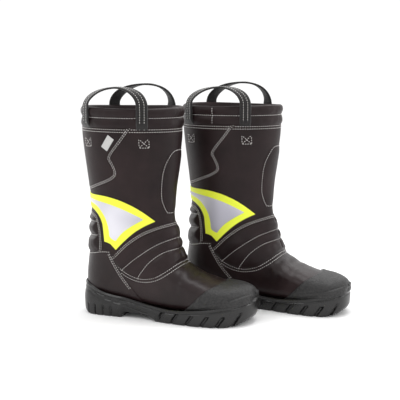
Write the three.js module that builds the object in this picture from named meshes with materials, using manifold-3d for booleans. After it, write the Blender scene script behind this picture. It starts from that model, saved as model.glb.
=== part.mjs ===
// A pair of firefighter's pull-on leather boots, toes along +X, the left boot a mirror image of the right.
// Every upper piece is cut out of offset layers of one lofted surface, the outside of the lasted leather.
// A boot's own frame: +X to the toe, +Y to its inner side, +Z up, the leg's middle over the origin.
import * as THREE from "three";
import { mergeVertices } from "three/addons/utils/BufferGeometryUtils.js";
import Module from "manifold-3d";

const wasm = await Module();
wasm.setup();

// ---------- driving dimensions, in millimetres ----------
const footLength = 312; // outsole, heel to toe
const bootHeight = 360; // floor to the collar's top
const collarHeight = 33;
const leather = 2.4;
const liningThickness = 3.5;
const flexPadding = 2.6; // how far the quilted panels stand out from the leather
const shinPadding = 0.8;
const gap = 0.3; // between two pieces that touch
const flexGap = 0.9; // between the leg and the heel counter, which the leg turns past
const tapeThickness = 0.8; // the bright reflective trim
const silverThickness = 0.5;
const labelSize = [24, 13];
const labelThickness = 0.8;
const labelTilt = 0.84; // radians, its long side leaning back at the top
const labelPlace = [-12.5, 25]; // its middle along the boot, and under the leg's top edge
const bumperThickness = 2.7;
const middleLayer = 2.5; // heel stiffener and strap tails, between the leather and the lining
const toeCapThickness = 2;
const strapWidth = 19;
const strapThickness = 3.6;
const strapRise = 36; // the loop's top above the straight part of its legs
const strapFront = 46; // where the legs of a loop stand along the boot
const strapRear = -57;
const tailLength = 34; // strap end sewn behind the leather
const lugDepth = 5;
const lugGap = 4.5;
const lugPitch = 24;
const lugHeight = 17; // how far the grooves climb the outsole's wall
const lugLean = 0.65; // forward run of a groove for each unit it climbs
const lugZone = [76, 185]; // the forefoot's grooves start and end here
const heelGrooves = [-62, -38];
const boardThickness = 1.5;
const plateThickness = 0.7;
const shankSize = [105, 22, 2]; // length, width, thickness
const footbedThickness = 5;
const boardInset = 7; // from the outsole's outline to the insole board and footbed
const pairOffset = [132, 138]; // the left boot stands ahead of and beside the right one

// ---------- stretching the pattern to the driving dimensions ----------
// Every outline below is drawn for a boot of the pattern's own length and height.
const patternLength = 312;
const patternHeight = 360;
const patternHeel = -89;
const vampStart = 60; // length is added in front of here
const legStart = 170; // height is added above here
const vampStretch = (footLength + patternHeel - vampStart) / (patternLength + patternHeel - vampStart);
const legStretch = (bootHeight - legStart) / (patternHeight - legStart);
const stretchX = (x) => (x <= vampStart ? x : vampStart + (x - vampStart) * vampStretch);
const stretchZ = (z) => (z <= legStart ? z : legStart + (z - legStart) * legStretch);
const shellTop = bootHeight - collarHeight;
const toeEnd = footLength + patternHeel;

// ---------- the lasted surface ----------
// Each station is a section line in side view, from the front or top edge to the back or bottom edge:
// front x, front z, back x, back z, half width, where it is widest, roundness of the back half, shift.
const stations = [
  [219, 43, 219, 43, 0.01, 0.5, 2.0, 10],
  [217.6, 50.5, 217.6, 31, 20, 0.5, 2.6, 10],
  [213, 57.5, 213, 26.5, 29, 0.5, 3.0, 9],
  [204, 62, 204, 23, 38, 0.48, 3.4, 8],
  [190, 65.5, 190, 20.5, 46.5, 0.45, 3.8, 5.5],
  [170, 68, 170, 18.5, 50.5, 0.42, 4.0, 2.5],
  [145, 74, 145, 17.5, 51.5, 0.4, 4.0, 0.5],
  [118, 84.5, 118, 17.5, 49.5, 0.36, 4.0, -2],
  [97.5, 99.5, 85, 18, 46, 0.36, 4.0, -4],
  [90.5, 114.5, 50, 20.5, 43, 0.4, 3.6, -4.5],
  [87, 131, 15, 24, 41.5, 0.45, 3.2, -3],
  [83, 147, -20, 27.5, 41.5, 0.48, 2.9, -1],
  [79.5, 163, -52, 30, 42.5, 0.5, 2.6, 0],
  [77, 179, -76, 36, 44.5, 0.5, 2.4, 0],
  [76, 194, -81, 68, 47.5, 0.5, 2.2, 0],
  [78, 226, -72.5, 140, 53.5, 0.5, 2.1, 0],
  [83, 261, -73.5, 210, 59.5, 0.5, 2.1, 0],
  [88.5, 304, -82.5, 288, 67, 0.5, 2.1, 0],
  [90, 332, -85.5, 327, 69.5, 0.5, 2.1, 0],
  [90.5, 366, -86, 366, 70, 0.5, 2.1, 0],
].map(([fx, fz, bx, bz, ...rest]) => [stretchX(fx), stretchZ(fz), stretchX(bx), stretchZ(bz), ...rest]);
const lastStation = stations.length - 1;
const aroundCount = 12;
const ringStations = [0, 1, 3, 4, 5, 6, 7, 8, 9, 11, 13, 14, 15, 16, 17, 19];

// Catmull-Rom between the stations.
function sectionAt(s) {
  const i = Math.min(Math.floor(s), lastStation - 1);
  const t = s - i;
  const pick = (k) => stations[Math.max(0, Math.min(lastStation, k))];
  const [p0, p1, p2, p3] = [pick(i - 1), pick(i), pick(i + 1), pick(i + 2)];
  return p1.map((b, k) => {
    const [a, c, d] = [p0[k], p2[k], p3[k]];
    const bend = (2 * a - 5 * b + 4 * c - d) * t ** 2 + (3 * b - a - 3 * c + d) * t ** 3;
    return 0.5 * (2 * b + (c - a) * t + bend);
  });
}

// A point of the surface; angle 0 is the front or top edge and half a turn the back or bottom edge.
function lastPoint(s, angle) {
  const [fx, fz, bx, bz, half, widest, roundness, shift] = sectionAt(s);
  const [c, v] = [Math.cos(angle), Math.sin(angle)];
  const power = 2 / (c > 0 ? 2 : roundness);
  const reach = Math.abs(c) ** power;
  const u = c > 0 ? widest * (1 - reach) : widest + (1 - widest) * reach;
  const y = shift + half * Math.sign(v) * Math.abs(v) ** power;
  return new THREE.Vector3(fx + (bx - fx) * u, y, fz + (bz - fz) * u);
}

// The same point moved out along the surface's normal.
function layerPoint(s, angle, offset) {
  const h = 0.02;
  if (s < h) return lastPoint(0, 0).add(new THREE.Vector3(offset, 0, 0));
  const along = lastPoint(Math.min(s + h, lastStation), angle).sub(lastPoint(Math.max(s - h, 0.01), angle));
  const around = lastPoint(s, angle + h).sub(lastPoint(s, angle - h));
  return lastPoint(s, angle).addScaledVector(around.cross(along).normalize(), offset);
}

// ---------- solids ----------
// A closed solid through a list of rings of points; the two ends are closed by fans.
function loft(rings) {
  const count = rings[0].length;
  const middle = (ring) => ring.reduce((sum, p) => sum.add(p), new THREE.Vector3()).divideScalar(count);
  const points = [...rings.flat(), middle(rings[0]), middle(rings.at(-1))];
  const faces = [];
  rings.slice(1).forEach((_, r) => {
    for (let k = 0; k < count; k++) {
      const [a, b] = [r * count + k, r * count + ((k + 1) % count)];
      faces.push(a, b, b + count, a, b + count, a + count);
    }
  });
  for (let k = 0; k < count; k++) {
    const next = (k + 1) % count;
    const end = (rings.length - 1) * count;
    faces.push(rings.length * count, next, k, rings.length * count + 1, end + k, end + next);
  }
  const geometry = new THREE.BufferGeometry().setFromPoints(points);
  geometry.setIndex(faces);
  return geometry;
}

function toSolid(geometry) {
  const bare = new THREE.BufferGeometry().setAttribute("position", geometry.getAttribute("position").clone());
  if (geometry.index) bare.setIndex(geometry.index.clone());
  const merged = mergeVertices(bare, 1e-4);
  const corners = merged.index.array;
  const kept = [];
  for (let i = 0; i < corners.length; i += 3) {
    const [a, b, c] = corners.slice(i, i + 3);
    if (a !== b && b !== c && a !== c) kept.push(a, b, c);
  }
  const vertProperties = merged.getAttribute("position").array;
  return new wasm.Manifold(new wasm.Mesh({ numProp: 3, vertProperties, triVerts: new Uint32Array(kept) }));
}

function toGeometry(solid) {
  const mesh = solid.getMesh();
  const geometry = new THREE.BufferGeometry();
  geometry.setAttribute("position", new THREE.BufferAttribute(new Float32Array(mesh.vertProperties), 3));
  geometry.setIndex(new THREE.BufferAttribute(new Uint32Array(mesh.triVerts), 1));
  geometry.computeVertexNormals();
  return geometry;
}

// Everything inside the lasted surface moved out by an offset.
function lastSolid(offset) {
  const rings = [];
  ringStations.forEach((s) => {
    const ring = [];
    for (let k = 0; k < aroundCount; k++) ring.push(layerPoint(s, (2 * Math.PI * k) / aroundCount, offset));
    rings.push(ring);
  });
  return toSolid(loft(rings));
}

const lastCache = new Map();
function last(offset) {
  if (!lastCache.has(offset)) lastCache.set(offset, lastSolid(offset));
  return lastCache.get(offset);
}

// The layer between two offsets. The inner solid is stretched upwards, which leaves the top open.
const layer = (outer, inner) => last(outer).subtract(last(inner).add(last(inner).translate(0, 0, 1)));

// A prism right across the boot from an outline in side view.
const prismHalf = 150;
function sidePrism(shape) {
  const geometry = new THREE.ExtrudeGeometry(shape, { depth: 2 * prismHalf, bevelEnabled: false });
  geometry.rotateX(Math.PI / 2);
  geometry.translate(0, prismHalf, 0);
  return toSolid(geometry);
}

const at = ([x, z]) => new THREE.Vector2(stretchX(x), stretchZ(z));

// An outline from runs of [x, z] points of the pattern; a run of three or more is a smooth line.
function outline(...runs) {
  const shape = new THREE.Shape();
  runs.forEach((run, index) => {
    const points = run.map(at);
    if (index === 0) shape.moveTo(points[0].x, points[0].y);
    else shape.lineTo(points[0].x, points[0].y);
    if (points.length === 2) shape.lineTo(points[1].x, points[1].y);
    if (points.length > 2) {
      const curve = new THREE.SplineCurve(points).getPoints(points.length - 1);
      curve.slice(1).forEach((p) => shape.lineTo(p.x, p.y));
    }
  });
  shape.closePath();
  return shape;
}

// The same outline moved outwards by a distance, for the clearance around a piece that fits inside another.
function grown(shape, distance) {
  const points = shape.getPoints(1);
  if (points[0].equals(points.at(-1))) points.pop();
  const turn = THREE.ShapeUtils.area(points) > 0 ? 1 : -1;
  const moved = points.map((p, i) => {
    const before = points.at(i - 1);
    const after = points[(i + 1) % points.length];
    const a = p.clone().sub(before).normalize();
    const b = after.clone().sub(p).normalize();
    const normal = new THREE.Vector2(a.y + b.y, -a.x - b.x).multiplyScalar(turn);
    const scale = Math.min(1 / Math.max(normal.lengthSq() / 2, 0.2), 3);
    return p.clone().addScaledVector(normal, distance * scale);
  });
  return new THREE.Shape(moved);
}

// Everything between two heights.
const band = (bottom, top) => {
  const corners = [[-footLength, bottom], [footLength, bottom], [footLength, top], [-footLength, top]];
  return sidePrism(new THREE.Shape(corners.map(([x, z]) => new THREE.Vector2(x, z))));
};

// ---------- pattern lines in side view ----------
const far = 260;
const seamS = [[29, 345], [29, 327], [12, 303], [-4, 284], [-9, 276]];
const seamHook = [[-9, 276], [-3, 266], [1, 254], [-2, 244], [-16, 235], [-37, 227], [-55, 220], [-100, 210]];
const counterTop = [[-120, 108], [-60, 111], [-38, 116], [-20, 117]];
const counterFront = [[-20, 117], [-19, 109], [-5, 82], [5, 68], [22, 47], [40, 22], [52, 10]];
const instepTop = [[-24, 104], [-13, 112], [7, 131], [32, 149], [54, 159], [74, 165], [120, 170]];
const instepBottom = [[120, 122], [100, 101], [85, 87], [60, 73], [34, 69], [12, 74], [-5, 84], [-14, 92]];
const rearFront = [[-37, 115], [-36, 128], [-39, 158], [-45, 174], [-72, 185], [-120, 190]];
const bumperEdge = [[176, 110], [172, 68], [164, 65], [153, 59], [142, 49], [135, 39], [123, 22], [110, 5]];
const tapeTop = [[-120, 214], [-62, 212], [-28, 211], [-1, 206], [21, 197], [39, 185], [56, 169]];
const tapeFront = [[56, 169], [40, 161], [23, 150], [6, 135], [-10, 119]];
const tapeBack = [[-10, 119], [-20, 129], [-31, 132]];
const tapeHeel = [[-31, 132], [-32, 146], [-34, 163], [-41, 176], [-51, 183], [-62, 187], [-120, 191]];
const silverTop = [[-120, 205], [-60, 203], [-23, 198], [5, 190], [26, 181], [38, 173]];
const silverFront = [[38, 173], [19, 161], [3, 149], [-9, 135]];
const silverHeel = [[-9, 135], [-19, 141], [-21, 156], [-26, 172], [-36, 186], [-50, 194], [-120, 199]];
const shinOval = [[84, 292], [76, 278], [69, 258], [65, 236], [63, 210], [65, 192], [72, 178]];

const counterShape = outline(counterTop, counterFront, [[-120, 5]]);
const instepShape = outline(instepTop, instepBottom);
const rearShape = outline(rearFront, [[-120, 108], [-60, 112], [-37, 115]]);
const bumperShape = outline(bumperEdge, [[far, 5], [far, 110]]);
const tapeShape = outline(tapeTop, tapeFront, tapeBack, tapeHeel);
const silverShape = outline(silverTop, silverFront, silverHeel);
const shinShape = outline(shinOval, [[120, 178], [120, 292]]);
const backShape = outline(seamS, seamHook, [[-120, 345]]);

const fullHeight = band(-20, shellTop);
const cut = (shape, room = 0) => sidePrism(room ? grown(shape, room) : shape);

// ---------- outsole ----------
// Footprint in plan, [x, y], +y on the boot's inner side.
const footprint = [
  [-89, 0], [-84, -21], [-71, -34], [-50, -39.5], [-20, -40.5], [10, -41.5], [50, -46], [85, -52],
  [118, -55.5], [145, -56], [170, -52.5], [190, -44], [207, -30], [218, -13], [223, 9], [219, 30], [208, 45], [190, 54],
  [170, 57.5], [145, 56], [118, 51], [85, 42.5], [50, 36], [10, 34.5], [-20, 38], [-50, 39.5], [-71, 34], [-84, 21],
];

function footprintRing(inset, height) {
  const points = footprint.map(([x, y]) => new THREE.Vector2(stretchX(x), y));
  return points.map((p, i) => {
    const direction = points[(i + 1) % points.length].clone().sub(points.at(i - 1)).normalize();
    return new THREE.Vector3(p.x - direction.y * inset, p.y + direction.x * inset, height);
  });
}

const footprintSolid = (levels) => toSolid(loft(levels.map(([inset, height]) => footprintRing(inset, height))));

// How far the wall stands back from the footprint at each height.
const soleLevels = [[1.5, 0], [0, 20], [2, 40], [6.5, 60]];
const soleTop = [
  [-120, 58], [-82, 57], [-64, 52], [-50, 45], [-35, 40], [-16, 37], [1, 35.5], [23, 32], [46, 28], [72, 25],
  [100, 24], [135, 27], [165, 31], [193, 37], [219, 43], [far, 47],
];
const soleBottom = [[far, 22], [223, 12], [205, 4], [185, 0], [58, 0]];
const soleArch = [[54, 8], [30, 10], [0, 10], [-5, 0], [-70, 0], [-84, 7], [-120, 20]];

// A groove across the sole that starts under the floor and leans forward as it climbs.
function lugCutter(x, height) {
  const lean = lugLean * height;
  const corners = [[x, -1], [x + lugGap, -1], [x + lugGap + lean, height], [x + lean, height]];
  return sidePrism(new THREE.Shape(corners.map(([a, z]) => new THREE.Vector2(a, z))));
}

function makeOutsole() {
  let solid = footprintSolid(soleLevels).intersect(sidePrism(outline(soleTop, soleBottom, soleArch)));
  solid = solid.subtract(last(gap));
  const core = footprintSolid([[lugDepth, -5], [lugDepth, 60]]);
  const [start, end] = lugZone.map(stretchX);
  for (let x = start; x <= end; x += lugPitch) {
    solid = solid.subtract(lugCutter(x, lugDepth));
    solid = solid.subtract(lugCutter(x, lugHeight).subtract(core));
  }
  heelGrooves.forEach((x) => {
    solid = solid.subtract(lugCutter(x, lugDepth));
  });
  return solid;
}

// ---------- layers under the foot ----------
// A strip in side view that follows the floor of the lasted surface between two heights above it.
function floorStrip(low, high) {
  const floor = ringStations.filter((s) => s >= 3 && s <= 13).map((s) => {
    const [, , bx, bz] = sectionAt(s);
    return new THREE.Vector2(bx, bz);
  });
  const up = floor.map((p) => new THREE.Vector2(p.x, p.y + high));
  const down = floor.map((p) => new THREE.Vector2(p.x, p.y + low)).reverse();
  return sidePrism(new THREE.Shape([...up, ...down]));
}

const boardLow = leather + gap;
const boardHigh = boardLow + boardThickness;
const plateLow = boardHigh + gap;
const plateHigh = plateLow + plateThickness;
const footbedLow = leather + middleLayer + liningThickness + 3 * gap;

const insoleBlank = (inset) => footprintSolid([[inset, 0], [inset, 90]]);

// A flat layer under the lining, between two heights above the floor of the lasted surface.
function underLining(inset, low, high) {
  const blank = insoleBlank(inset).intersect(floorStrip(low, high)).intersect(last(-leather - gap));
  return largest(blank.subtract(last(liningOuter + gap)));
}
const makeBoard = () => underLining(boardInset, boardLow, boardHigh);
const makePlate = () => underLining(boardInset + 1, plateLow, plateHigh);

function shankBox(grow) {
  const [length, width] = shankSize;
  const box = new THREE.BoxGeometry(length + 2 * grow, width + 2 * grow, 80);
  box.translate(-45 + length / 2, 0, 20);
  return toSolid(box);
}

// The shank lies in a pocket on top of the outsole, under the board.
const shankLow = -gap - shankSize[2];
const makeShank = () => shankBox(0).intersect(floorStrip(shankLow, -gap));
const shankPocket = () => shankBox(gap).intersect(floorStrip(shankLow - gap, 2));

// ---------- strap loops ----------
const collarRound = 1; // how far the collar stands out from the leg
const legOffset = collarRound + 0.4 + strapThickness / 2;
const hingeHeight = shellTop + gap;

// Where a leg stands against the collar: its place, and the direction straight out from the collar.
function legAt(x, side, offset = legOffset) {
  const s = lastStation - 1;
  let angle = Math.PI / 2;
  for (let i = 0; i < 40; i++) angle += (lastPoint(s, angle).x - x) * 0.01;
  const foot = layerPoint(s, angle * side, 0);
  const out = layerPoint(s, angle * side, 1).sub(foot).setZ(0).normalize();
  return { place: foot.addScaledVector(out, offset).setZ(hingeHeight), out };
}

function makeStrap(side) {
  const front = legAt(strapFront, side);
  const rear = legAt(strapRear, side);
  const straight = bootHeight + 1 - hingeHeight;
  const chord = rear.place.clone().sub(front.place);
  const sections = [];
  const addSection = (place, tangent, out) => {
    const width = new THREE.Vector3().crossVectors(tangent, out).normalize();
    const normal = new THREE.Vector3().crossVectors(width, tangent).normalize();
    const across = (a) => place.clone().addScaledVector(width, (a * strapWidth) / 2);
    const corner = (a, b) => across(a).addScaledVector(normal, (b * strapThickness) / 2);
    sections.push([corner(1, 1), corner(-1, 1), corner(-1, -1), corner(1, -1)]);
  };
  const up = new THREE.Vector3(0, 0, 1);
  addSection(front.place, up, front.out);
  const steps = 16;
  for (let i = 0; i <= steps; i++) {
    const turn = (Math.PI * i) / steps;
    const share = (1 - Math.cos(turn)) / 2;
    const place = front.place.clone().addScaledVector(chord, share);
    place.z += straight + strapRise * Math.sin(turn);
    const tangent = chord.clone().multiplyScalar(Math.sin(turn) / 2);
    tangent.z = strapRise * Math.cos(turn);
    const out = front.out.clone().lerp(rear.out, share).multiplyScalar(Math.cos(turn) ** 2);
    out.addScaledVector(up, Math.sin(turn));
    out.addScaledVector(chord, (-Math.cos(turn) * Math.sin(turn)) / chord.length());
    addSection(place, tangent.normalize(), out);
  }
  addSection(rear.place, up.clone().negate(), rear.out);
  const solid = toSolid(loft(sections));
  return solid.volume() < 0 ? toSolid(loft(sections.reverse())) : solid;
}

function tailBox(x, side) {
  const { place } = legAt(x, side, 0);
  const box = new THREE.BoxGeometry(strapWidth, 60, tailLength);
  box.translate(place.x, place.y, shellTop - gap - tailLength / 2);
  return toSolid(box);
}
const makeTail = (x, side) => middleShell().intersect(tailBox(x, side));

// ---------- the pieces of the right boot ----------
const strapPlaces = [["outer", -1], ["inner", 1]].flatMap(([name, side]) => [
  [`${name}_strap_front_tail`, strapFront, side],
  [`${name}_strap_rear_tail`, strapRear, side],
]);

const liningTop = bootHeight - 8;
const upperShell = layer(0, -leather);
const paddedShell = layer(flexPadding, -leather);
const middleOuter = -leather - gap;
const middleInner = middleOuter - middleLayer;
const middleShell = () => layer(middleOuter, middleInner);
const liningOuter = middleInner - gap;
const liningInner = liningOuter - liningThickness;
const counterRoom = cut(counterShape, gap);
const instepRoom = cut(instepShape, gap);
const rearRoom = cut(rearShape, gap);
const shinRoom = cut(shinShape, gap);
const backRoom = cut(backShape, gap);

const capZone = outline([[168, 100], [160, 60], [160, 5]], [[far, 5], [far, 100]]);
const stiffenerZone = outline([[-120, 98], [-60, 96], [-25, 80], [-5, 50], [5, 5]], [[-120, 5]]);

const largest = (solid) => solid.decompose().sort((a, b) => b.volume() - a.volume())[0];
function makeShaftPanel() {
  return largest(
    upperShell
      .intersect(fullHeight)
      .subtract(cut(counterShape, flexGap))
      .subtract(instepRoom)
      .subtract(rearRoom)
      .subtract(shinRoom)
      .subtract(backRoom)
      .intersect(sidePrism(outline([[-120, 105], [120, 105]], [[120, 400], [-120, 400]]))),
  );
}

function makeVamp() {
  const ahead = outline([[-25, 5], [-25, 83], [45, 150], [far, 150]], [[far, 5]]);
  return largest(upperShell.intersect(cut(ahead)).subtract(counterRoom).subtract(instepRoom));
}

function makeCollar() {
  const ring = layer(collarRound, liningInner).intersect(band(shellTop + gap, bootHeight));
  const tucked = last(liningOuter + gap).intersect(band(0, liningTop + gap));
  return largest(ring.subtract(tucked));
}

function makeLabel() {
  const [length, width] = labelSize;
  const box = new THREE.BoxGeometry(length, 200, width);
  box.rotateY(-labelTilt);
  box.translate(labelPlace[0], -100, shellTop - labelPlace[1]);
  return layer(gap + labelThickness, gap).intersect(toSolid(box));
}

// The footbed lies on the lining's floor.
function makeFootbed() {
  const blank = insoleBlank(boardInset).intersect(last(liningInner - gap));
  return blank.intersect(floorStrip(footbedLow, footbedLow + footbedThickness));
}

// A shaped stiff piece between leather and lining, standing on the plate.
function stiffPiece(shell, zone) {
  return largest(shell.intersect(cut(zone)).intersect(floorStrip(plateHigh + gap, 400)));
}

function makeBumper() {
  const belowSole = cut(outline(soleTop, [[far, 5], [-120, 5]]), 1);
  return largest(layer(gap + bumperThickness, gap).intersect(cut(bumperShape)).subtract(belowSole));
}

// The bright trim goes round the panels beside it.
function makeTape() {
  const tape = layer(gap + tapeThickness, gap).intersect(cut(tapeShape));
  return largest(tape.subtract(counterRoom).subtract(rearRoom).subtract(instepRoom));
}

function makeSilver() {
  const inner = 2 * gap + tapeThickness;
  return largest(layer(inner + silverThickness, inner).intersect(cut(silverShape)));
}

const toeCapShell = () => layer(middleOuter, middleOuter - toeCapThickness);
const flexPanel = (shape) => largest(paddedShell.intersect(cut(shape)).subtract(counterRoom));
const shinPiece = () => layer(shinPadding, -leather).intersect(cut(shinShape)).intersect(fullHeight);

const pieces = {
  outsole: ["rubber", () => makeOutsole().subtract(shankPocket())],
  shank: ["steel", makeShank],
  insole_board: ["board", makeBoard],
  puncture_plate: ["steel", makePlate],
  footbed: ["footbed", makeFootbed],
  toe_cap: ["steel", () => stiffPiece(toeCapShell(), capZone)],
  heel_stiffener: ["board", () => stiffPiece(middleShell(), stiffenerZone)],
  lining: ["lining", () => layer(liningOuter, liningInner).intersect(band(0, liningTop))],
  vamp: ["leather", makeVamp],
  toe_bumper: ["rubber", makeBumper],
  heel_counter: ["leather", () => largest(upperShell.intersect(cut(counterShape)))],
  instep_flex_panel: ["leather", () => flexPanel(instepShape)],
  rear_flex_panel: ["leather", () => flexPanel(rearShape)],
  shaft_panel: ["leather", makeShaftPanel],
  back_panel: ["leather", () => largest(upperShell.intersect(fullHeight).intersect(cut(backShape)))],
  shin_pad: ["leather", () => largest(shinPiece())],
  reflective_band: ["bright_trim", makeTape],
  silver_strip: ["silver_trim", makeSilver],
  collar: ["leather", makeCollar],
  label: ["label", makeLabel],
  outer_pull_strap: ["strap", () => makeStrap(-1)],
  inner_pull_strap: ["strap", () => makeStrap(1)],
};
strapPlaces.forEach(([name, x, side]) => {
  pieces[name] = ["strap", () => makeTail(x, side)];
});

// ---------- materials ----------
function finish(color, roughness, metalness = 0) {
  return new THREE.MeshStandardMaterial({ color, roughness, metalness });
}
const finishes = {
  leather: finish(0x2c2628, 0.45),
  rubber: finish(0x1d1c1d, 0.6),
  steel: finish(0x9a9da0, 0.35, 0.9),
  board: finish(0x8b7a5c, 0.85),
  footbed: finish(0x3a3d42, 0.9),
  lining: finish(0x1f1f22, 0.95),
  bright_trim: finish(0xe6f23c, 0.55),
  silver_trim: finish(0xc9c9d2, 0.3, 0.2),
  label: finish(0xc9c9c6, 0.7),
  strap: finish(0x232022, 0.6),
};

// ---------- the pair ----------
const pair = new THREE.Group();
const [ahead, beside] = pairOffset;
[["right", 1, 0, 0], ["left", -1, ahead, beside]].forEach(([foot, mirror, x, y]) => {
  const boot = new THREE.Group();
  boot.scale.y = mirror;
  boot.position.set(x, y, 0);
  pair.add(boot);
  Object.entries(pieces).forEach(([name, [material, make]]) => {
    const [, , cached] = pieces[name];
    const geometry = cached ?? toGeometry(make());
    pieces[name][2] = geometry;
    const mesh = new THREE.Mesh(geometry, finishes[material]);
    mesh.name = `${foot}_${name}`;
    boot.add(mesh);
  });
});

// The origin is under the middle of the pair, on the floor.
const box = new THREE.Box3().setFromObject(pair);
pair.children.forEach((boot) => {
  boot.position.x -= (box.min.x + box.max.x) / 2;
  boot.position.y -= (box.min.y + box.max.y) / 2;
  boot.position.z -= box.min.z;
});

export default pair;
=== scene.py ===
import math

import bpy
import numpy as np
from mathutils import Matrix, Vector, kdtree, noise
from mathutils.geometry import delaunay_2d_cdt


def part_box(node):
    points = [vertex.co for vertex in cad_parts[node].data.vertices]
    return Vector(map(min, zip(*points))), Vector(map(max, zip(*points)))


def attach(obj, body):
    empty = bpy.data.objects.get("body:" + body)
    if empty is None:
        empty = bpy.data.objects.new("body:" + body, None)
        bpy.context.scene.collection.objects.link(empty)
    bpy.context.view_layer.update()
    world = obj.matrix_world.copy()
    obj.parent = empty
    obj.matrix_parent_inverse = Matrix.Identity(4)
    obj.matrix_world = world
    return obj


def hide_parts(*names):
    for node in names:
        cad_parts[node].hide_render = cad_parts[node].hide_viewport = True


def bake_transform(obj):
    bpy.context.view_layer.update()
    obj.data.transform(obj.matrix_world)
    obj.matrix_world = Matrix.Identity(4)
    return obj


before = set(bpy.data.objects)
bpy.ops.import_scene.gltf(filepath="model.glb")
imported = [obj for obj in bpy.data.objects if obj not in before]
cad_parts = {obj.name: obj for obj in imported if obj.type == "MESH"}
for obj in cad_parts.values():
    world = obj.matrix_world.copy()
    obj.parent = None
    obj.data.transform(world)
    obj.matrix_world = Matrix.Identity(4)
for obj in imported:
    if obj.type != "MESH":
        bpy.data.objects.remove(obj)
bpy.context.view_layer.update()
mm = 0.001
print("frame loaded")

# The pattern of one boot in millimetres: +X to the toe, +Y to its inner side, the leg's middle over
# the origin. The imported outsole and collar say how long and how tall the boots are.
pattern = {"length": 312, "height": 360, "heel": -89, "vampStart": 60, "legStart": 170}


def bootPlace(foot):
    soleLow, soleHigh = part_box(f"{foot}_outsole")
    collarLow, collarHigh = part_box(f"{foot}_collar")
    return {
        "foot": foot,
        "side": 1 if foot == "right" else -1,
        "x": soleLow[0] / mm - pattern["heel"],
        "y": (collarLow[1] + collarHigh[1]) / 2 / mm,
        "length": (soleHigh[0] - soleLow[0]) / mm,
        "height": collarHigh[2] / mm,
    }


boots = [bootPlace("right"), bootPlace("left")]
footLength = boots[0]["length"]
bootHeight = boots[0]["height"]
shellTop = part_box("right_shaft_panel")[1][2] / mm


def stretchX(x):
    start = pattern["vampStart"]
    share = (footLength + pattern["heel"] - start) / (pattern["length"] + pattern["heel"] - start)
    return np.where(x <= start, x, start + (x - start) * share)


def stretchZ(z):
    start = pattern["legStart"]
    share = (bootHeight - start) / (pattern["height"] - start)
    return np.where(z <= start, z, start + (z - start) * share)


# Points of the pattern's side view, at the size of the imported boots.
def stretched(*points):
    return np.array([(float(stretchX(x)), float(stretchZ(z))) for x, z in points])


# A smooth curve from b to c, with a before them and d after.
def through(a, b, c, d, t):
    return 0.5 * (2 * b + (c - a) * t + (2 * a - 5 * b + 4 * c - d) * t**2 + (3 * b - a - 3 * c + d) * t**3)


# A smooth closed curve through all the points, with the given shares of each span.
def closedCurve(points, shares):
    count = len(points)
    t = np.array(shares)[:, None]
    return np.vstack([through(*(points[(i + k) % count] for k in (-1, 0, 1, 2)), t) for i in range(count)])


def lengthAlong(path):
    return np.concatenate([[0], np.cumsum(np.linalg.norm(np.diff(path, axis=0), axis=1))])


# The points of a path at the given lengths along it.
def pointsAt(path, length, at):
    return np.stack([np.interp(at, length, path[:, k]) for k in range(path.shape[1])], 1)


# The faces between rings of points, one ring after another.
def ringFaces(rings, around, closed=False):
    faces = []
    for r in range(rings if closed else rings - 1):
        low, high = r * around, (r + 1) % rings * around
        for k in range(around):
            ahead = (k + 1) % around
            faces.append((low + k, low + ahead, high + ahead, high + k))
    return faces


def endCaps(rings, around):
    return [tuple(range(around))[::-1], tuple(range((rings - 1) * around, rings * around))]


view = {"azimuth": 20.93, "elevation": 7.87, "distance": 1799, "lens": 93.9, "aim": (116.7, 198.8)}


def addCamera():
    turn, lift = math.radians(view["azimuth"]), math.radians(view["elevation"])
    right = Vector((math.cos(turn), math.sin(turn), 0))
    back = Vector((math.sin(turn) * math.cos(lift), -math.cos(turn) * math.cos(lift), math.sin(lift)))
    near = boots[0]
    aim = Vector((near["x"], near["y"], view["aim"][1])) + right * view["aim"][0]
    camera = bpy.data.objects.new("camera", bpy.data.cameras.new("camera"))
    camera.data.lens = view["lens"]
    camera.data.sensor_width = 36
    camera.data.clip_end = 20
    camera.location = (aim + back * view["distance"]) * mm
    camera.rotation_euler = (-back).to_track_quat("-Z", "Y").to_euler()
    bpy.context.scene.collection.objects.link(camera)
    bpy.context.scene.camera = camera


addCamera()

# The lasted surface that every piece of the upper lies on, in stations from the toe up to the collar:
# front x, front z, back x, back z, half width, where it is widest, roundness of the back half, shift
stations = np.array([
    (219, 43, 219, 43, 0.01, 0.5, 2.0, 10), (217.6, 50.5, 217.6, 31, 20, 0.5, 2.6, 10),
    (213, 57.5, 213, 26.5, 29, 0.5, 3.0, 9), (204, 62, 204, 23, 38, 0.48, 3.4, 8),
    (190, 65.5, 190, 20.5, 46.5, 0.45, 3.8, 5.5), (170, 68, 170, 18.5, 50.5, 0.42, 4.0, 2.5),
    (145, 74, 145, 17.5, 51.5, 0.4, 4.0, 0.5), (118, 84.5, 118, 17.5, 49.5, 0.36, 4.0, -2),
    (97.5, 99.5, 85, 18, 46, 0.36, 4.0, -4), (90.5, 114.5, 50, 20.5, 43, 0.4, 3.6, -4.5),
    (87, 131, 15, 24, 41.5, 0.45, 3.2, -3), (83, 147, -20, 27.5, 41.5, 0.48, 2.9, -1),
    (79.5, 163, -52, 30, 42.5, 0.5, 2.6, 0), (77, 179, -76, 36, 44.5, 0.5, 2.4, 0),
    (76, 194, -81, 68, 47.5, 0.5, 2.2, 0), (78, 226, -72.5, 140, 53.5, 0.5, 2.1, 0),
    (83, 261, -73.5, 210, 59.5, 0.5, 2.1, 0), (88.5, 304, -82.5, 288, 67, 0.5, 2.1, 0),
    (90, 332, -85.5, 327, 69.5, 0.5, 2.1, 0), (90.5, 366, -86, 366, 70, 0.5, 2.1, 0),
], float)
stations[:, [0, 2]] = stretchX(stations[:, [0, 2]])
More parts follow.
